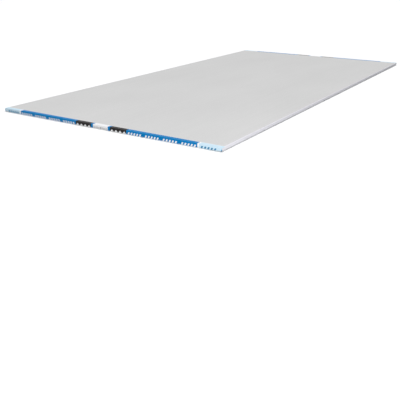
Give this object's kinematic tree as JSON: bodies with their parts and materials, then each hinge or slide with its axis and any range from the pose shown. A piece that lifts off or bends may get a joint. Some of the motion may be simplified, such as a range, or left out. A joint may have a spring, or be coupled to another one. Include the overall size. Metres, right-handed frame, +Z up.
{
  "type": "drywall sheet",
  "caption": "Full-size gypsum board sheet lying face down: grey back paper up, pale face paper folded round its tapered long edges, printed paper tape on its cut ends.",
  "frame": {"origin": "under the middle of the sheet, on the plane of the flat part of its face, which lies on the floor", "axes": "+X across the sheet's width, +Y along its length, away from the front end, +Z up, out of its back"},
  "size_m": [1.2192, 2.4388, 0.0161],
  "materials": {
    "board_paper": "matte",
    "printed_tape": "satin"
  },
  "bodies": {
    "root": {"sheet": "board_paper", "end_tape_front": "printed_tape", "end_tape_back": "printed_tape"}
  },
  "joints": []
}
